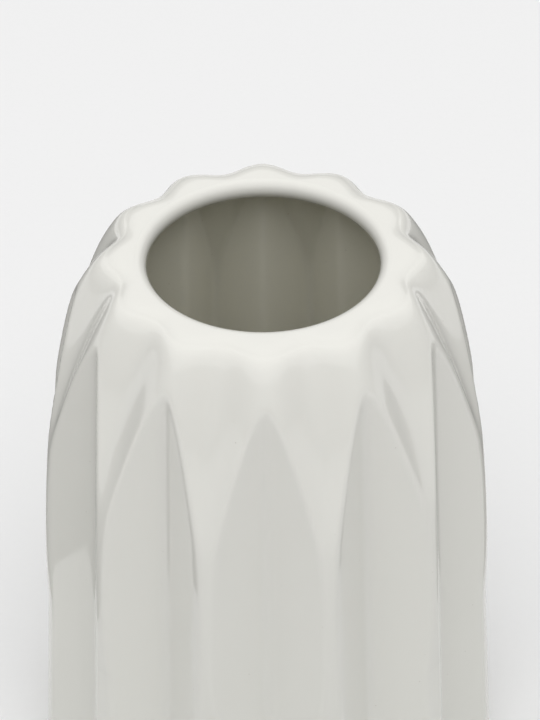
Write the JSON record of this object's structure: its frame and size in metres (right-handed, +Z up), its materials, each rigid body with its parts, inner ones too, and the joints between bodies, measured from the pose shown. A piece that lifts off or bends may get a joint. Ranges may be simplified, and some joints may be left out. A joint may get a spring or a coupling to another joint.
{
  "type": "pleated ceramic vase",
  "caption": "Tall white glazed stoneware vase with twelve deep vertical pleats that change places on the domed shoulder and die out at the rim of an open mouth.",
  "frame": {"origin": "centre of the foot on the surface that the vase stands on", "axes": "+Z up along the axis of the vase; -Y faces the viewer, with the bottom of one groove in that direction"},
  "size_m": [0.1842, 0.1842, 0.25],
  "materials": {
    "stoneware": "bare fired clay, fine sandy grain",
    "white_glaze": "high gloss warm white glaze, softened over the crests",
    "felt": "pressed felt"
  },
  "bodies": {
    "root": {"stoneware_body": "stoneware", "outer_glaze": "white_glaze", "liner_glaze": "white_glaze", "felt_pads": "felt"}
  },
  "joints": []
}
